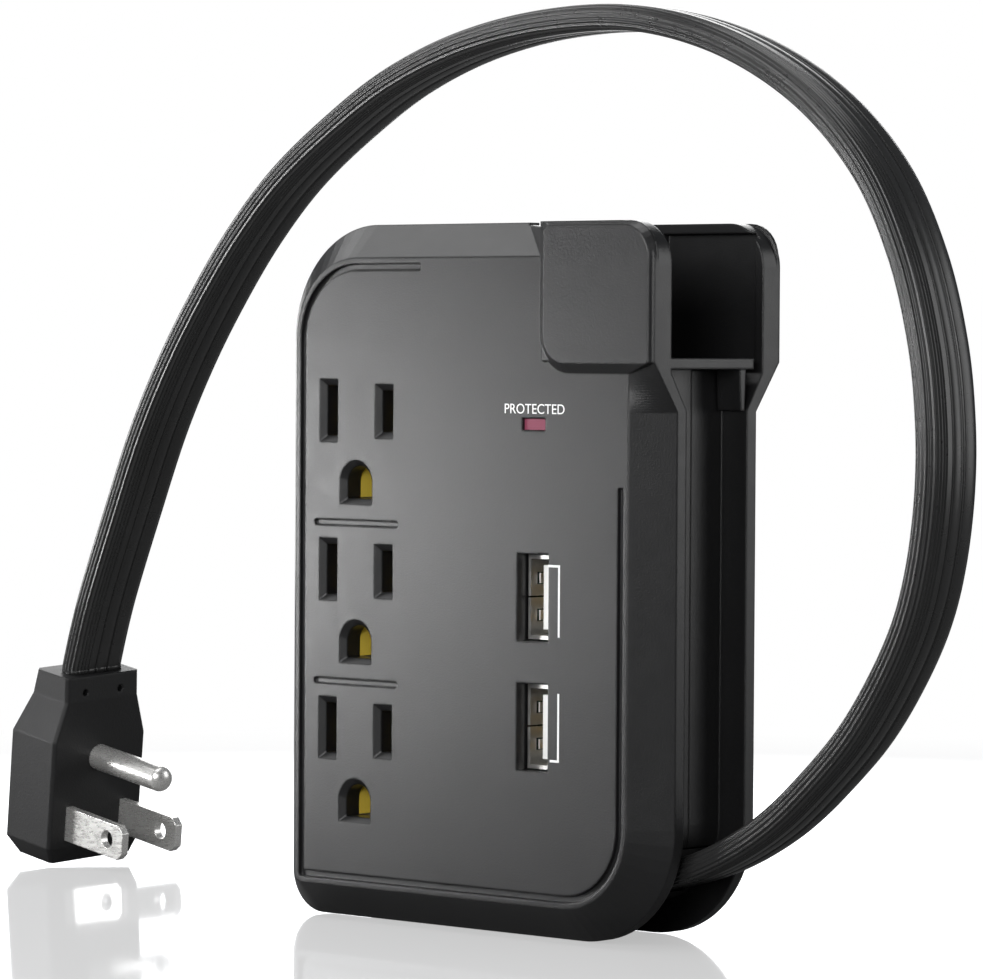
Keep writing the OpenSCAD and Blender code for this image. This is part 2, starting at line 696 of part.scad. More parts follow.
module input_capacitor() color([0.1, 0.12, 0.2]) {
  rod_x(-5.5, usb_mid_z - 6, side_x - 16, side_x, 5);
}

module output_capacitors() color([0.12, 0.14, 0.3]) {
  for (z = usb_z) rod_x(6.9, z, usb_board_x, usb_board_x + 12, 4);
}

module bridge_rectifier() color([0.1, 0.1, 0.1]) {
  block([side_x - 2.6, 3, usb_mid_z - 10], [side_x, 9, usb_mid_z - 2]);
}

module control_chip() color([0.1, 0.1, 0.1]) {
  block([side_x - 1.6, -4, usb_mid_z + 26], [side_x, 0, usb_mid_z + 31]);
}

module output_diode() color([0.1, 0.1, 0.1]) {
  block([usb_board_x, 2, usb_mid_z + 20], [usb_board_x + 2.4, 6, usb_mid_z + 25]);
}

module filter_choke() color([0.25, 0.22, 0.2]) {
  rod_x(-5, usb_mid_z - 20, side_x - 9, side_x, 4.5);
}

module fuse_resistor() color([0.3, 0.5, 0.4]) {
  translate([side_x - 2.2, 4, usb_mid_z - 26]) cylinder(r = 1.9, h = 10);
  for (z = [-25.5, -16.5]) rod_x(4, usb_mid_z + z, side_x - 2.2, side_x, 0.4);
}

// Indicator lamp, held to the board by its two legs
module indicator_lamp() color([0.75, 0.2, 0.25]) {
  block([usb_x - 2.4, inside_front + 0.3, lamp_z - 0.95], [usb_x + 2.4, inside_front + 6, lamp_z + 0.95]);
  for (z = [lamp_z - 0.7, lamp_z + 0.3]) {
    block([usb_board_x, inside_front + 6, z], [usb_x + 0.4, inside_front + 6.4, z + 0.4]);
    block([usb_x, inside_front + 5.9, z], [usb_x + 0.4, inside_front + 6.4, z + 0.4]);
  }
}

// Clear window over the lamp, a little below the face
module indicator_lens() color([0.6, 0.3, 0.35]) {
  block([usb_x - 2.4, -half_d + 0.5, lamp_z - 0.9], [usb_x + 2.4, inside_front + 0.2, lamp_z + 0.9]);
}

// Wires from the cord's inner end to the tails of the bus bars
tail_z = carrier_low - 1.9;
function wire_run(side, x, y) = [
  cord_end + [0, side, 0],
  cord_end + [0, side, 0] - cord_in * 2.5,
  [socket_x + 11, y, cavity_inset + 2.6],
  [x, y, tail_z],
  [x, carrier_back, tail_z]
];
module line_wire() color([0.1, 0.1, 0.1]) wire(wire_run(-3.8, socket_x + slot_x, carrier_back + 1.5), 1);

module neutral_wire() color([0.85, 0.85, 0.85]) wire(wire_run(3.8, socket_x - slot_x, carrier_back + 6.3), 1);

module ground_wire() color([0.1, 0.45, 0.2]) wire(wire_run(0, socket_x, carrier_back + 3.9), 1);

// Two thin wires from the surge board to the USB board
module usb_feed_wires() color([0.6, 0.1, 0.1]) {
  y = board_front - 2.5;
  for (z = [usb_mid_z + 36, usb_mid_z + 41]) {
    wire([
      [board_right - 2, board_front, z], [board_right - 2, y, z],
      [side_x - 5, y, z - 8], [side_x, y, z - 8]
    ], 0.7);
  }
}

// Grommet that holds the cord where it leaves the case
module cord_grommet() color([0.05, 0.05, 0.05]) {
  difference() {
    intersection() {
      cord_window(grommet_thick, grommet_half);
      slab(-grommet_half - 1, grommet_half + 1) outline(core_inset);
    }
    translate([exit_x, 0, exit_z]) rotate([0, -exit_angle, 0])
      translate([-20, -cord_width / 2 - cord_gap, -cord_thick / 2 - cord_gap])
        cube([40, cord_width + 2 * cord_gap, cord_thick + 2 * cord_gap]);
  }
}

// Smooth curve through the route's points
function curve(a, b, c, d, t) =
  0.5 * (2 * b + (c - a) * t + (2 * a - 5 * b + 4 * c - d) * t * t + (3 * b - a - 3 * c + d) * t * t * t);
route_last = len(route) - 1;
centres = concat(
  [for (i = [0:route_last - 1]) for (k = [0:1])
    curve(route[max(i - 1, 0)], route[i], route[i + 1], route[min(i + 2, route_last)], k / 2)],
  [route[route_last]]
);
last = len(centres) - 1;
function unit(v) = v / norm(v);
function heading(i) =
  i == 0 ? cord_in
  : i == last ? -plug_up
  : unit(centres[i + 1] - centres[i - 1]);
section = concat(
  [for (p = cord_half_section) [p[0] * cord_width, p[1] * cord_thick]],
  [for (k = [5:-1:0]) [cord_half_section[k][0] * cord_width, -cord_half_section[k][1] * cord_thick]]
);
sides = len(section);
function side_way(i) = let (k = max(0, i - last + 16) / 16) [0, 1, 0] * (1 - k) + plug_side * k;
function across(i) = let (h = heading(i), w = side_way(i)) unit(w - h * (h * w));
function cord_ring(i) = let (t = heading(i), b = across(i), n = cross(t, b))
  [for (p = section) centres[i] + b * p[0] + n * p[1]];

// The flat cord, swept along its route
module cord() color([0.06, 0.06, 0.065]) {
  polyhedron(
    points = [for (i = [0:last]) each cord_ring(i)],
    faces = concat(
      [[for (k = [sides - 1:-1:0]) k]],
      [for (i = [0:last - 1]) for (k = [0:sides - 1])
        [i * sides + k, i * sides + (k + 1) % sides, (i + 1) * sides + (k + 1) % sides]],
      [for (i = [0:last - 1]) for (k = [0:sides - 1])
        [i * sides + k, (i + 1) * sides + (k + 1) % sides, (i + 1) * sides + k]],
      [[for (k = [0:sides - 1]) last * sides + k]]
    )
  );
}

// Puts a plug piece where the plug stands
module at_plug() {
  translate(plug_pos) rotate([plug_roll, plug_tilt, plug_turn]) children();
}

// One level of the plug body: front at x = f, back at x = b, half width w, height z
module plug_level(z, b, f, w, c) {
  translate([0, 0, z]) linear_extrude(0.02) polygon([
    [b + c, -w], [f - c / 2, -w], [f, -w + c / 2], [f, w - c / 2], [f - c / 2, w],
    [b + c, w], [b, w - c], [b, -w + c]
  ]);
}

module plug_body() color([0.06, 0.06, 0.065]) at_plug() difference() {
  w = plug_width / 2;
  union() {
    hull() {
      plug_level(-plug_low, -plug_depth + 2.6, -0.5, plug_foot, 1);
      plug_level(-4.6, -plug_depth, 0, w, 1);
    }
    hull() {
      plug_level(-4.6, -plug_depth, 0, w, 1);
      plug_level(15.5, -plug_depth, 0, w, 1);
    }
    hull() {
      plug_level(15.5, -plug_depth, 0, w, 1);
      plug_level(22.9, -plug_depth + 2.6, 0, w - 2.25, 1);
    }
    hull() {
      plug_level(22.9, -plug_depth + 2.6, 0, w - 2.25, 1);
      plug_level(plug_high - 0.02, -plug_depth + 3.6, -0.3, w - 2.3, 1);
    }
  }
  for (s = [-1, 1]) {
    block([-6, s * slot_x - plug_blade_thick / 2, -plug_blade_height / 2], [1, s * slot_x + plug_blade_thick / 2, plug_blade_height / 2]);
    rod_x(s * 4.1, 24.5, -1.2, 1, 0.65);
  }
  block([-6, -1.7, ground_drop - 1.7], [1, 1.7, ground_drop + 1.7]);
}

// The two flat blades, each with its hole and a chamfered tip
module plug_blades() color([0.78, 0.78, 0.76]) at_plug() {
  h = plug_blade_height / 2;
  for (s = [-1, 1]) difference() {
    translate([0, s * slot_x + plug_blade_thick / 2, 0]) rotate([90, 0, 0]) linear_extrude(plug_blade_thick) polygon([
      [-6, -h], [blade_length - 1.2, -h], [blade_length, -h + 1.2],
      [blade_length, h - 1.2], [blade_length - 1.2, h], [-6, h]
    ]);
    rod_y(blade_length - 4.4, 0, s * slot_x - 2, s * slot_x + 2, 1.6);
  }
}

// Round ground pin with a domed tip and a square root in the body
module plug_ground_pin() color([0.8, 0.8, 0.78]) at_plug() {
  block([-6, -1.7, ground_drop - 1.7], [0.5, 1.7, ground_drop + 1.7]);
  rod_x(0, ground_drop, 0, pin_length - 1.6, pin_radius);
  translate([pin_length - 1.6, 0, ground_drop]) rotate([0, 90, 0]) rotate_extrude() intersection() {
    square([pin_radius, 1.6]);
    scale([pin_radius / 2.38, 0.68]) circle(2.38);
  }
}

front_cover();
back_cover();
case_screws();
socket_carrier();
socket_back_plate();
line_bus();
neutral_bus();
ground_bus();
surge_board();
surge_board_screws();
varistors();
thermal_fuse();
suppression_capacitor();
indicator_resistor();
usb_board();
upper_usb_shell();
lower_usb_shell();
usb_tongues();
usb_contacts();
transformer_core();
transformer_winding();
input_capacitor();
output_capacitors();
bridge_rectifier();
control_chip();
output_diode();
filter_choke();
fuse_resistor();
indicator_lamp();
indicator_lens();
line_wire();
neutral_wire();
ground_wire();
usb_feed_wires();
cord_grommet();
cord();
plug_body();
plug_blades();
plug_ground_pin();
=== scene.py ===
import bpy
import json
import math
from mathutils import Vector, Matrix

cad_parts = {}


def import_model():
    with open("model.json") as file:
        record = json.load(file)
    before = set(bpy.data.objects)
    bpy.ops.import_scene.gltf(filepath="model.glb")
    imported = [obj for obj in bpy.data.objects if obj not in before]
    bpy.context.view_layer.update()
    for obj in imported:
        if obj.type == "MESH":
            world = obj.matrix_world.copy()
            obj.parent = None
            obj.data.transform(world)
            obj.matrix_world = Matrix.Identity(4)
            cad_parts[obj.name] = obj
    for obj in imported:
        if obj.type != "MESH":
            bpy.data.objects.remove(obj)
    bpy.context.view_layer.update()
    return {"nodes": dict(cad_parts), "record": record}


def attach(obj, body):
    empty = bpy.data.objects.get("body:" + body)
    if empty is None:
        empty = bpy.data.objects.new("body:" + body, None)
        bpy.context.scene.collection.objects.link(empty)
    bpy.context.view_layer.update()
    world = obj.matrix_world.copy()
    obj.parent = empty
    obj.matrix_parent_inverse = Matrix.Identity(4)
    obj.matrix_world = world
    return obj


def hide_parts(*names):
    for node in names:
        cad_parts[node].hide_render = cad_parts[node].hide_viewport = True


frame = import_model()
nodes = frame["nodes"]
MM = 0.001


def link(obj):
    bpy.context.scene.collection.objects.link(obj)
    return obj


def new_object(name, verts, faces, smooth=True):
    """A mesh object from points in metres."""
    mesh = bpy.data.meshes.new(name)
    mesh.from_pydata([tuple(v) for v in verts], [], faces)
    mesh.update()
    for p in mesh.polygons:
        p.use_smooth = smooth
    return link(bpy.data.objects.new(name, mesh))


# ---------------------------------------------------------------- camera
CAMERA_TURN = math.radians(42.181)
CAMERA_ROLL = math.radians(0.328)
PLACE_PITCH = math.radians(1.6615)  # from the camera's place to its target
VIEW_PITCH = math.radians(1.6853)   # of the way it looks
CAMERA_TARGET = Vector((-1.469, -5.3, 72.726)) * MM
CAMERA_DISTANCE = 0.83195
FOCAL_LENGTH, SENSOR_WIDTH = 184.43, 36


def heading(turn, pitch):
    return Vector((-math.sin(turn) * math.cos(pitch), math.cos(turn) * math.cos(pitch), -math.sin(pitch)))


def make_camera():
    place = CAMERA_TARGET - heading(CAMERA_TURN, PLACE_PITCH) * CAMERA_DISTANCE
    view = heading(CAMERA_TURN, VIEW_PITCH)
    level = Vector((math.cos(CAMERA_TURN), math.sin(CAMERA_TURN), 0))
    upright = level.cross(view)
    right = level * math.cos(CAMERA_ROLL) + upright * math.sin(CAMERA_ROLL)
    up = upright * math.cos(CAMERA_ROLL) - level * math.sin(CAMERA_ROLL)
    cam = bpy.data.cameras.new("camera")
    cam.sensor_width = SENSOR_WIDTH
    cam.lens = FOCAL_LENGTH
    cam.clip_end = 50
    obj = link(bpy.data.objects.new("camera", cam))
    m = Matrix((right, up, -view)).transposed().to_4x4()
    m.translation = place
    obj.matrix_world = m
    bpy.context.scene.camera = obj


make_camera()


# ---------------------------------------------------------------- materials
class Tree:
    """A node tree with short helpers, for a material or the world."""

    def __init__(self, owner, output):
        owner.use_nodes = True
        self.t = owner.node_tree
        self.t.nodes.clear()
        self.out = self.t.nodes.new(output)

    def node(self, kind, **sockets):
        n = self.t.nodes.new(kind)
        for k, v in sockets.items():
            self.put(n.inputs[k.replace("_", " ")], v)
        return n

    def put(self, socket, v):
        if isinstance(v, bpy.types.NodeSocket):
            self.t.links.new(v, socket)
        else:
            socket.default_value = v

    def maths(self, operation, a, b):
        n = self.node("ShaderNodeMath")
        n.operation = operation
        self.put(n.inputs[0], a)
        self.put(n.inputs[1], b)
        return n.outputs[0]

    def vector_math(self, operation, a, b=None):
        n = self.node("ShaderNodeVectorMath")
        n.operation = operation
        self.put(n.inputs[0], a)
        if b:
            self.put(n.inputs[1], b)
        return n.outputs["Value"]

    def span(self, value, low, high, start=0.3, end=0.7):
        """Takes a value that goes from start to end to one that goes from low to high."""
        n = self.node("ShaderNodeMapRange", Value=value)
        for name, number in (("From Min", start), ("From Max", end), ("To Min", low), ("To Max", high)):
            n.inputs[name].default_value = number
        return n.outputs[0]

    def mix(self, fac, first, second):
        n = self.node("ShaderNodeMixShader", Fac=fac)
        self.put(n.inputs[1], first)
        self.put(n.inputs[2], second)
        return n.outputs[0]

    def surface(self, shader):
        self.put(self.out.inputs["Surface"], shader)


class Graph(Tree):
    """A material in the object's own coordinates."""

    def __init__(self, name):
        self.mat = bpy.data.materials.new(name)
        super().__init__(self.mat, "ShaderNodeOutputMaterial")
        self.coord = self.t.nodes.new("ShaderNodeTexCoord").outputs["Object"]

    def noise(self, scale, detail=3.0, rough=0.5, stretch=None):
        vec = self.coord
        if stretch:
            vec = self.node("ShaderNodeMapping", Vector=vec, Scale=stretch).outputs[0]
        n = self.node("ShaderNodeTexNoise", Vector=vec, Scale=scale, Detail=detail, Roughness=rough)
        return n.outputs["Fac"]

    def ramp(self, fac, low, high, start=0.3, end=0.7):
        n = self.node("ShaderNodeValToRGB", Fac=fac)
        for stop, place, color in zip(n.color_ramp.elements, (start, end), (low, high)):
            stop.position = place
            stop.color = (*color, 1)
        return n.outputs["Color"]

    def mottle(self, fac, color, vary):
        """The colour, darker and lighter by the part vary."""
        low, high = (tuple(min(1.0, c * k) for c in color) for k in (1 - vary, 1 + vary))
        return self.ramp(fac, low, high)

    def bump(self, height, distance, strength=1.0, normal=None):
        n = self.node("ShaderNodeBump", Height=height, Distance=distance, Strength=strength)
        if normal is not None:
            self.put(n.inputs["Normal"], normal)
        return n.outputs[0]

    def bevel(self, radius):
        """A rounded edge of this radius, or None where it is 0."""
        if not radius:
            return None
        n = self.node("ShaderNodeBevel", Radius=radius)
        n.samples = 6
        return n.outputs[0]

    def principled(self, **sockets):
        self.surface(self.node("ShaderNodeBsdfPrincipled", **sockets).outputs[0])
        return self.mat


def plastic(name, color, rough=0.4, grain=2600, depth=0.00003, vary=0.12, specular=0.5, edge=0.0):
    """Moulded plastic: a mottled colour, uneven roughness, a fine grain and rounded edges."""
    g = Graph(name)
    base = g.mottle(g.noise(scale=60, detail=4, rough=0.55), color, vary)
    fine = g.noise(scale=grain, detail=2, rough=0.6)
    r = g.span(g.noise(scale=300, detail=5, rough=0.6), rough - 0.02, rough + 0.03)
    normal = g.bump(fine, depth, 1.0, g.bevel(edge))
    return g.principled(Base_Color=base, Roughness=r, Normal=normal, Specular_IOR_Level=specular)


def metal(name, color, rough=0.25, grain=900, depth=0.00001, stretch=(1, 1, 12), vary=0.08,
          edge=0.0, metallic=1.0):
    """Metal with fine drawn streaks and faint stains."""
    g = Graph(name)
    streak = g.noise(grain, detail=3, rough=0.55, stretch=stretch)
    base = g.mottle(g.noise(scale=150, detail=4, rough=0.6), color, vary)
    r = g.span(streak, rough - 0.06, rough + 0.1)
    normal = g.bump(streak, depth, 0.8, g.bevel(edge))
    return g.principled(Base_Color=base, Roughness=r, Normal=normal, Metallic=metallic)


def board(name):
    """A circuit board's green lacquer over its tracks."""
    g = Graph(name)
    tracks = g.node("ShaderNodeTexVoronoi", Vector=g.coord, Scale=420.0)
    tracks.distance = "MANHATTAN"
    away = tracks.outputs["Distance"]
    base = g.ramp(away, (0.006, 0.04, 0.018), (0.012, 0.07, 0.03), start=0.3, end=0.42)
    r = g.span(g.noise(800, 3), 0.3, 0.45)
    return g.principled(Base_Color=base, Roughness=r, Normal=g.bump(away, 0.00004, 0.6))


def ink(name):
    g = Graph(name)
    base = g.ramp(g.noise(3000, 2), (0.88, 0.88, 0.88), (0.96, 0.96, 0.96))
    return g.principled(Base_Color=base, Roughness=0.5)


mats = {
    "case_plastic": plastic(
        "case_black", (0.0115, 0.0115, 0.012), 0.31, grain=3200, depth=0.000022, vary=0.1, edge=0.0005),
    "carrier_plastic": plastic("carrier_cream", (0.55, 0.5, 0.4), 0.5),
    "circuit_board": board("board_green"),
    "contact_brass": metal("brass", (1.0, 0.74, 0.1), 0.5, grain=700, metallic=0.0),
    "contact_gold": metal("gold_flash", (0.9, 0.65, 0.25), 0.22),
    "screw_steel": metal("screw_zinc", (0.6, 0.6, 0.6), 0.3),
    "usb_shell_steel": metal(
        "shell_nickel", (0.66, 0.65, 0.63), 0.34, depth=0.000008, stretch=(1, 10, 1)),
    "usb_tongue_plastic": plastic("tongue_white", (0.88, 0.88, 0.86), 0.4),
    "prong_metal": metal(
        "prong_nickel", (0.86, 0.85, 0.83), 0.27, grain=500, depth=0.000001, stretch=(1, 6, 6),
        vary=0.06, edge=0.0002, metallic=0.8),
    "varistor_coat": plastic("varistor_blue", (0.02, 0.07, 0.35), 0.35),
    "fuse_coat": plastic("fuse_white", (0.7, 0.7, 0.66), 0.4),
    "capacitor_case": plastic("capacitor_yellow", (0.75, 0.5, 0.05), 0.3),
    "resistor_coat": plastic("resistor_tan", (0.5, 0.36, 0.2), 0.4),
    "ferrite": plastic("ferrite_grey", (0.05, 0.05, 0.055), 0.6, grain=900, depth=0.00008),
    "winding_tape": plastic("tape_yellow", (0.75, 0.5, 0.04), 0.3),
    "can_sleeve": plastic("can_dark", (0.012, 0.014, 0.04), 0.3),
    "chip_resin": plastic("chip_black", (0.02, 0.02, 0.02), 0.6),
    "choke_sleeve": plastic("choke_black", (0.02, 0.02, 0.02), 0.45),
    "fuse_resistor_coat": plastic("fuse_resistor_green", (0.06, 0.2, 0.12), 0.4),
    "lamp_resin": plastic("lamp_pink", (0.5, 0.08, 0.13), 0.25),
    "lens_plastic": plastic(
        "lens_pink", (0.24, 0.05, 0.09), 0.45, grain=900, depth=0.00001, vary=0.1, specular=0.3),
    "line_insulation": plastic("wire_black", (0.02, 0.02, 0.02), 0.4),
    "neutral_insulation": plastic("wire_white", (0.75, 0.75, 0.73), 0.4),
    "ground_insulation": plastic("wire_green", (0.03, 0.22, 0.06), 0.4),
    "feed_insulation": plastic("wire_red", (0.35, 0.02, 0.02), 0.4),
    "grommet_rubber": plastic("rubber_black", (0.012, 0.012, 0.012), 0.6),
    "cord_jacket": plastic(
        "cord_black", (0.021, 0.021, 0.021), 0.28, grain=1500, depth=0.000004, vary=0.1),
    "plug_plastic": plastic(
        "plug_black", (0.01, 0.01, 0.0105), 0.47, vary=0.1, specular=0.36, edge=0.0006),
}
for sub in frame["record"]["subparts"]:
    obj = nodes[sub["node"]]
    obj.data.materials.clear()
    obj.data.materials.append(mats[sub["material_slot"]])

# ---------------------------------------------------------------- cord
# The route repeats part.scad's, in millimetres. The leaning plug stands on its body's lowest edge.
TILT, ROLL, TURN = math.radians(9.5), math.radians(3.6), math.radians(-3.6)
PLUG_LOW, PLUG_FOOT = 7.45, 9.5   # from the plug's origin down and sideways to that edge
PLUG_HIGH = 27.5                  # from the plug's origin up to the face that the cord enters
CORD_INSET = 3.8                  # of the cord on that face, towards the plug's back
FLOOR_GAP = 0.05
EXIT_ANGLE = math.radians(12)     # the cord's rise as it leaves the case
CORD_INSIDE = 8.6                 # its length inside the case
PLUG_STRAIGHT = 2                 # its straight end at the plug

stand = Matrix.Rotation(TURN, 3, "Z") @ Matrix.Rotation(TILT, 3, "Y") @ Matrix.Rotation(ROLL, 3, "X")
plug_out, plug_side, plug_up = (stand @ Vector(v) for v in ((1, 0, 0), (0, 1, 0), (0, 0, 1)))
plug_rest = math.cos(TILT) * (PLUG_LOW * math.cos(ROLL) + PLUG_FOOT * math.sin(ROLL)) + FLOOR_GAP
plug_top = Vector((-122.26, 19.2, plug_rest)) + plug_up * PLUG_HIGH - plug_out * CORD_INSET
cord_in = Vector((math.cos(EXIT_ANGLE), 0, math.sin(EXIT_ANGLE)))
cord_exit = Vector((34.4, 0, 10.9))
loop = [
    (42, 0, 13.1), (49.6, 0, 16.5), (57, 0, 21), (64, 0, 26.8), (72.3, 0, 35.1), (78.7, 0, 44.1),
    (83.5, 0, 53.3), (86.3, 0, 62.8), (87.8, 0, 74), (87.8, 0, 85), (86.2, 0, 97.2),
    (82.1, 0, 110.8), (74.8, 0, 124), (62.9, 0, 135.5), (46.9, 0.1, 144.1), (27.7, 0.9, 149),
    (6.4, 3, 149.4), (-14.4, 5.4, 146.7), (-33.5, 7.9, 141.2), (-49.9, 10.1, 133.5),
    (-64.1, 11.9, 125), (-75.7, 13.3, 115.3), (-85.5, 14.4, 104.8), (-94.4, 15.2, 93.3),
    (-102.5, 15.9, 80.4), (-109.9, 16.4, 65.1), (-116.7, 16.5, 49.2),
]
route = [cord_exit - cord_in * CORD_INSIDE, cord_exit] + [Vector(p) for p in loop]
route += [plug_top + plug_up * PLUG_STRAIGHT, plug_top]

STEPS = 10                        # rings between two points of the route
TURN_RINGS = 80                   # rings over which the cord turns to the plug's own angle
HALF_WIDTH, HALF_THICK = 6.1, 2.1
FRONT_RADIUS, FRONT_POINTS = 1.9, 30   # points on a quarter turn
BACK_RADIUS, BACK_POINTS = 1.3, 6
OUTLINE_STEP = 0.1                     # along the flats
RIB_REACH, RIB_PITCH, RIB_DEPTH = 5.2, 0.8, 0.22          # round the front edge
LOBES, LOBE_DEPTH = ((0.93, 1.38), (4.0, 1.7)), 0.25      # middle and half width of each
GROOVES, GROOVE_DEPTH, GROOVE_HALF, GROOVE_POWER = (-0.45, 2.3), 0.6, 0.42, 0.8


def curve_point(a, b, c, d, t):
    """A point between b and c on the smooth curve through a, b, c and d."""
    return 0.5 * (2 * b + (c - a) * t + (2 * a - 5 * b + 4 * c - d) * t * t
                  + (3 * b - a - 3 * c + d) * t ** 3)


def cord_centres():
    n = len(route) - 1
    pts = []
    for i in range(n):
        a, b, c, d = route[max(i - 1, 0)], route[i], route[i + 1], route[min(i + 2, n)]
        pts += [curve_point(a, b, c, d, k / STEPS) for k in range(STEPS)]
    return pts + [route[n]]


def flat_outline():
    """Points and inward normals round the flat cord: back edge, loop's inner side, front edge,
    outer side."""
    pts = []

    def arc(cx, cy, r, start, n):
        for k in range(n):
            a = math.radians(start + 90 * k / n)
            pts.append((cx + r * math.cos(a), cy + r * math.sin(a), -math.cos(a), -math.sin(a)))

    def run(x0, y0, x1, y1, nx, ny):
        n = max(1, round(math.hypot(x1 - x0, y1 - y0) / OUTLINE_STEP))
        for k in range(n):
            t = k / n
            pts.append((x0 + (x1 - x0) * t, y0 + (y1 - y0) * t, nx, ny))

    back, front = HALF_WIDTH - BACK_RADIUS, FRONT_RADIUS - HALF_WIDTH
    back_y, front_y = HALF_THICK - BACK_RADIUS, HALF_THICK - FRONT_RADIUS
    arc(back, back_y, BACK_RADIUS, 0, BACK_POINTS)
    run(back, HALF_THICK, front, HALF_THICK, 0, -1)
    arc(front, front_y, FRONT_RADIUS, 90, FRONT_POINTS)
    run(-HALF_WIDTH, front_y, -HALF_WIDTH, -front_y, 1, 0)
    arc(front, -front_y, FRONT_RADIUS, 180, FRONT_POINTS)
    run(front, -HALF_THICK, back, -HALF_THICK, 0, 1)
    arc(back, -back_y, BACK_RADIUS, 270, BACK_POINTS)
    return pts


def cord_section():
    """The flat cord's outline, (across, towards the loop's inside): a ribbed front edge, two lobes
    and two grooves."""
    pts = flat_outline()
    way = [0.0]
    for a, b in zip(pts, pts[1:]):
        way.append(way[-1] + math.hypot(b[0] - a[0], b[1] - a[1]))
    edge = [w for w, q in zip(way, pts) if abs(q[0] + HALF_WIDTH) < 1e-6]
    middle = sum(edge) / len(edge)
    section = []
    for w, (x, y, nx, ny) in zip(way, pts):
        depth = 0.0
        s = abs(w - middle)
        if s < RIB_REACH:
            depth = RIB_DEPTH / 2 * (1 - math.cos(2 * math.pi * s / RIB_PITCH))
        for centre, half in LOBES:
            if abs(x - centre) < half:
                depth = max(depth, LOBE_DEPTH * ((x - centre) / half) ** 2)
        for centre in GROOVES:
            e = abs(x - centre)
            if e < GROOVE_HALF:
                depth = GROOVE_DEPTH * (1 - e / GROOVE_HALF) ** GROOVE_POWER
        section.append((x + nx * depth, y + ny * depth))
    return section[::-1]


def make_cord():
    """The cord as one tube: a ring of the section at each centre, turned to the plug's angle at the end."""
    centres = cord_centres()
    section = cord_section()
    m = len(section)
    n = len(centres) - 1
    verts = []
    for i, c in enumerate(centres):
        if i == 0:
            along = cord_in
        elif i == n:
            along = -plug_up
        else:
            along = (centres[i + 1] - centres[i - 1]).normalized()
        turned = max(0.0, i - n + TURN_RINGS) / TURN_RINGS
        side = Vector((0, 1, 0)) * (1 - turned) + plug_side * turned
        across = (side - along * along.dot(side)).normalized()
        out = along.cross(across)
        verts += [(c + across * y + out * h) * MM for y, h in section]
    faces = [list(range(m - 1, -1, -1)), [n * m + k for k in range(m)]]
    for i in range(n):
        for k in range(m):
            k2 = (k + 1) % m
            faces.append([i * m + k, i * m + k2, (i + 1) * m + k2, (i + 1) * m + k])
    obj = new_object("cord_ribbed", verts, faces)
    for end in (0, 1):
        obj.data.polygons[end].use_smooth = False
    obj.data.materials.append(mats["cord_jacket"])
    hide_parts("cord")
    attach(obj, "root")


make_cord()

# ---------------------------------------------------------------- printing on the face
# In millimetres
FACE = -15.3                        # the face's Y
LINE_OUTSIDE, LINE_INSIDE = 0.03, 0.02   # how far a line stands out of the face and goes into it
LINE_HALF = 0.19                    # half of a line's width
BRACKET_X = 22.35
WORD_HALF_THICK, WORD_OUT = 0.02, 0.01   # a word's middle plane is this far out of the face
white_ink = ink("white_ink")


def on_face(obj):
    obj.data.materials.clear()
    obj.data.materials.append(white_ink)
    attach(obj, "root")


def bracket(name, sign, z_hook, z_end, x_hook):
    """An upright line with a hook to the left at its upper end (sign 1) or lower end (sign -1)."""
    left, right = BRACKET_X - LINE_HALF, BRACKET_X + LINE_HALF
    z_under = z_hook - sign * 2 * LINE_HALF
    outline = [(x_hook, z_hook), (x_hook, z_under), (left, z_under), (left, z_end), (right, z_end),
               (right, z_hook)]
    n = len(outline)
    verts = [Vector((x, FACE + dy, z)) * MM for dy in (-LINE_OUTSIDE, LINE_INSIDE) for x, z in outline]
    faces = [list(range(n)), list(range(2 * n - 1, n - 1, -1))]
    faces += [[k, (k + n), (k + 1) % n + n, (k + 1) % n] for k in range(n)]
    on_face(new_object(name, verts, faces, False))


bracket("print_bracket_upper", 1, 60.95, 49.3, 20.0)
bracket("print_bracket_lower", -1, 29.15, 40.25, 20.6)


def label(name, body, x, z, width, height):
    """A raised word, its middle at x and z, fitted to the width and height."""
    font = bpy.data.curves.new(name, "FONT")
    font.body = body
    font.align_x = "CENTER"
    font.align_y = "CENTER"
    font.extrude = WORD_HALF_THICK * MM
    curve = link(bpy.data.objects.new(name + "_curve", font))
    bpy.context.view_layer.update()
    mesh = bpy.data.meshes.new_from_object(curve)
    bpy.data.objects.remove(curve)
    xs, ys = [v.co.x for v in mesh.vertices], [v.co.y for v in mesh.vertices]
    lo_x, hi_x, lo_y, hi_y = min(xs), max(xs), min(ys), max(ys)
    for v in mesh.vertices:
        u = (v.co.x - (lo_x + hi_x) / 2) / (hi_x - lo_x) * width
        w = (v.co.y - (lo_y + hi_y) / 2) / (hi_y - lo_y) * height
        v.co = Vector((x + u, FACE - WORD_OUT - v.co.z / MM, z + w)) * MM
    on_face(link(bpy.data.objects.new(name, mesh)))


label("print_protected", "PROTECTED", 16.85, 86.0, 12.9, 1.6)


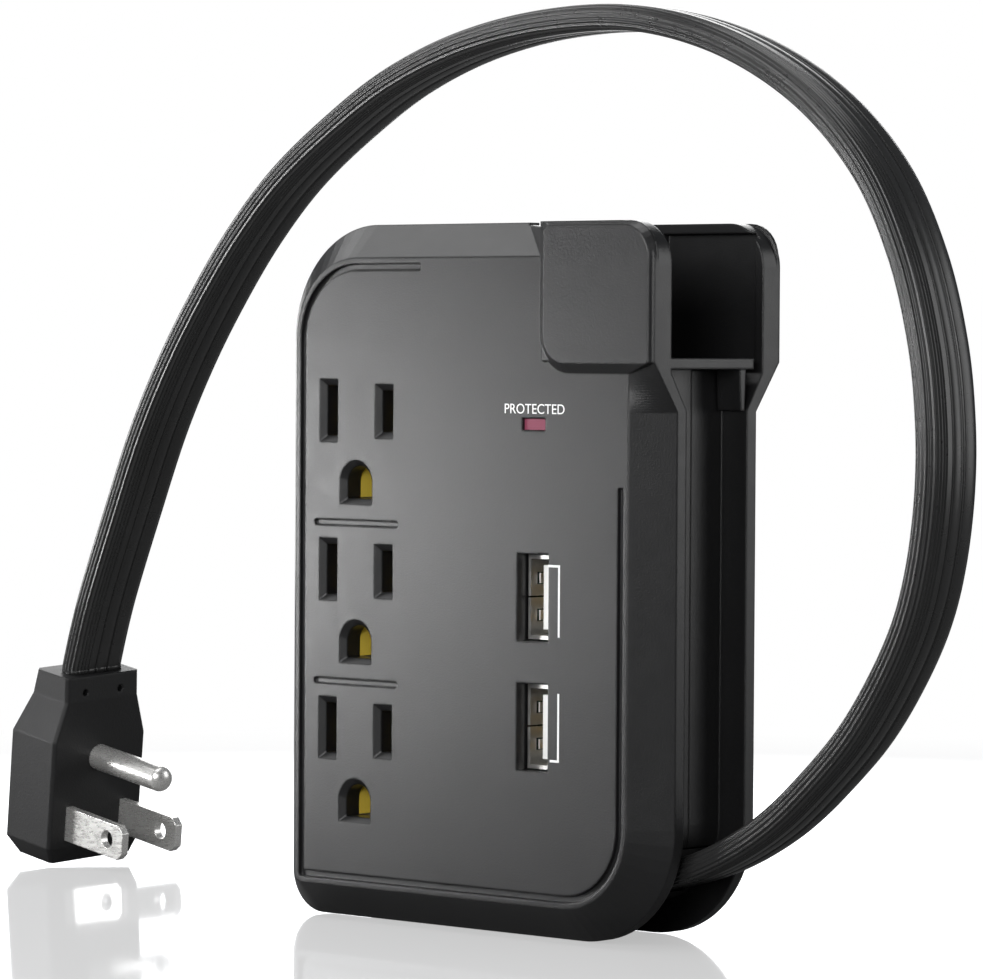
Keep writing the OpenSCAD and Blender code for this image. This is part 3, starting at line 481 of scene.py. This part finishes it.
# ---------------------------------------------------------------- floor, world and lights
def floor():
    half, z = 6.0, -0.0002
    corners = [(-half, -half, z), (half, -half, z), (half, half, z), (-half, half, z)]
    obj = new_object("floor", corners, [[0, 1, 2, 3]], False)
    g = Graph("floor_white")
    path = g.node("ShaderNodeLightPath")
    # The camera sees plain white far from the object, and near it a part of the shadow
    distance = g.vector_math("LENGTH", g.coord)
    glowing = g.maths("MAXIMUM", g.span(distance, 0.0, 1.0, start=0.1, end=0.42), 0.72)
    diffuse = g.node("ShaderNodeBsdfDiffuse", Color=(0.86, 0.86, 0.87, 1))
    glow = g.node("ShaderNodeEmission", Color=(1, 1, 1, 1), Strength=1.0)
    matte = g.mix(glowing, diffuse.outputs[0], glow.outputs[0])
    gloss = g.node("ShaderNodeBsdfGlossy", Color=(0.96, 0.98, 1.0, 1), Roughness=0.06)
    polished = g.mix(g.span(distance, 0.34, 0.0, start=0.2, end=0.36), matte, gloss.outputs[0])
    # Seen from the object's own surfaces the floor is dim, so that the edges near it stay dark
    dim = g.node("ShaderNodeBsdfDiffuse", Color=(0.2, 0.2, 0.2, 1))
    g.surface(g.mix(path.outputs["Is Camera Ray"], dim.outputs[0], polished))
    obj.data.materials.append(g.mat)


floor()


def world():
    studio = bpy.data.worlds.new("studio")
    bpy.context.scene.world = studio
    g = Tree(studio, "ShaderNodeOutputWorld")
    path = g.node("ShaderNodeLightPath")
    dim = g.node("ShaderNodeBackground", Color=(0.9, 0.95, 1.0, 1), Strength=0.12)
    white = g.node("ShaderNodeBackground", Color=(1, 1, 1, 1), Strength=1.0)
    # The white backdrop behind the object, as the floor and glancing surfaces mirror it
    ray = g.node("ShaderNodeTexCoord").outputs["Generated"]
    towards = g.vector_math("DOT_PRODUCT", ray, (-0.671, 0.741, 0.03))
    facing = g.span(towards, 0.0, 1.0, start=0.93, end=0.96)
    mirrored = g.maths("MULTIPLY", path.outputs["Is Glossy Ray"], facing)
    seen = g.maths("MAXIMUM", path.outputs["Is Camera Ray"], mirrored)
    g.surface(g.mix(seen, dim.outputs[0], white.outputs[0]))


world()

# name, place, what it points at, width, height and watts
LIGHTS = (
    ("key_left", (-0.477, -0.365, 0.05), (-0.02, 0, 0.06), 0.12, 0.09, 1.15),
    ("side_left", (-0.62, -0.2, 0.3), (0, 0, 0.07), 0.4, 0.4, 0.35),
    ("upper_left", (-0.62, 0, 0.68), (0, 0, 0.09), 0.5, 0.5, 1.6),
    ("back_left", (-0.7, 0.85, 0.35), (0, 0, 0.12), 0.8, 0.8, 6.0),
    ("back_right", (0.6, 0.55, 0.25), (0.03, 0, 0.08), 0.4, 0.5, 1.3),
    ("fill_front", (0.75, -0.75, 0.35), (0, 0, 0.06), 0.5, 0.5, 0.6),
    ("front_high", (-0.05, -0.72, 0.38), (0, 0, 0.08), 0.28, 0.28, 2.8),
    ("front_right", (0.33, -0.66, 0.22), (0, 0, 0.07), 0.25, 0.25, 2.1),
    ("top", (0, -0.1, 1.1), (0, 0, 0.06), 0.7, 0.7, 4.5),
)
for name, place, aim, width, height, power in LIGHTS:
    light = bpy.data.lights.new(name, "AREA")
    light.shape = "RECTANGLE"
    light.size = width
    light.size_y = height
    light.energy = power
    obj = link(bpy.data.objects.new(name, light))
    obj.location = place
    obj.rotation_euler = (Vector(aim) - Vector(place)).to_track_quat("-Z", "Y").to_euler()

# ---------------------------------------------------------------- end
bpy.context.scene.view_settings.view_transform = "Standard"
